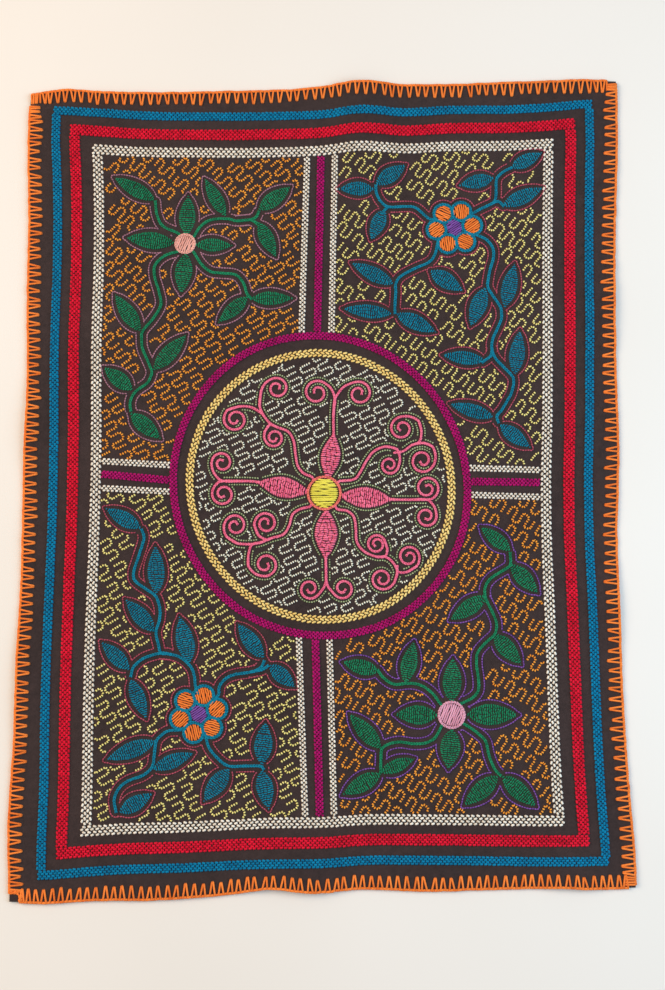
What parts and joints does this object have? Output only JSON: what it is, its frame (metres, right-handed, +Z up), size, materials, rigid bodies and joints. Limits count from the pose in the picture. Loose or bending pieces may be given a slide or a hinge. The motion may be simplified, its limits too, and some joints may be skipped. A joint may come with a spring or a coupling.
{
  "type": "embroidered ceremony cloth",
  "caption": "Rectangular dark cotton cloth with an overcast yarn edge, raised stitched frame bands, bars and rings round a medallion, laid flat and face up.",
  "frame": {"origin": "under the middle of the cloth, on the surface that it lies on", "axes": "+Z up out of the stitched face, +Y along the cloth's length towards the end with the hump, +X across its width"},
  "size_m": [0.6828, 0.9292, 0.0118],
  "materials": {
    "cotton": "dark brown-black plain-weave cotton",
    "orange_yarn": "soft twisted orange yarn",
    "blue_thread": "matt stranded blue thread",
    "red_thread": "matt stranded red thread",
    "white_thread": "matt cream-white thread",
    "magenta_thread": "matt stranded magenta thread",
    "gold_thread": "matt stranded gold-yellow thread",
    "amber_thread": "matt amber thread",
    "yellow_thread": "matt lemon-yellow thread",
    "lemon_thread": "matt pale lemon thread",
    "cream_thread": "matt cream thread",
    "green_thread": "matt stranded leaf-green thread",
    "teal_thread": "matt stranded teal-blue thread",
    "mauve_thread": "matt mauve thread",
    "crimson_thread": "matt crimson thread",
    "purple_thread": "matt purple thread",
    "sage_thread": "matt sage-green thread",
    "pink_thread": "matt stranded pink thread",
    "coral_thread": "matt coral thread",
    "salmon_thread": "matt salmon thread",
    "rose_thread": "matt rose-pink thread"
  },
  "bodies": {
    "root": {"cloth": "cotton"}
  },
  "joints": []
}
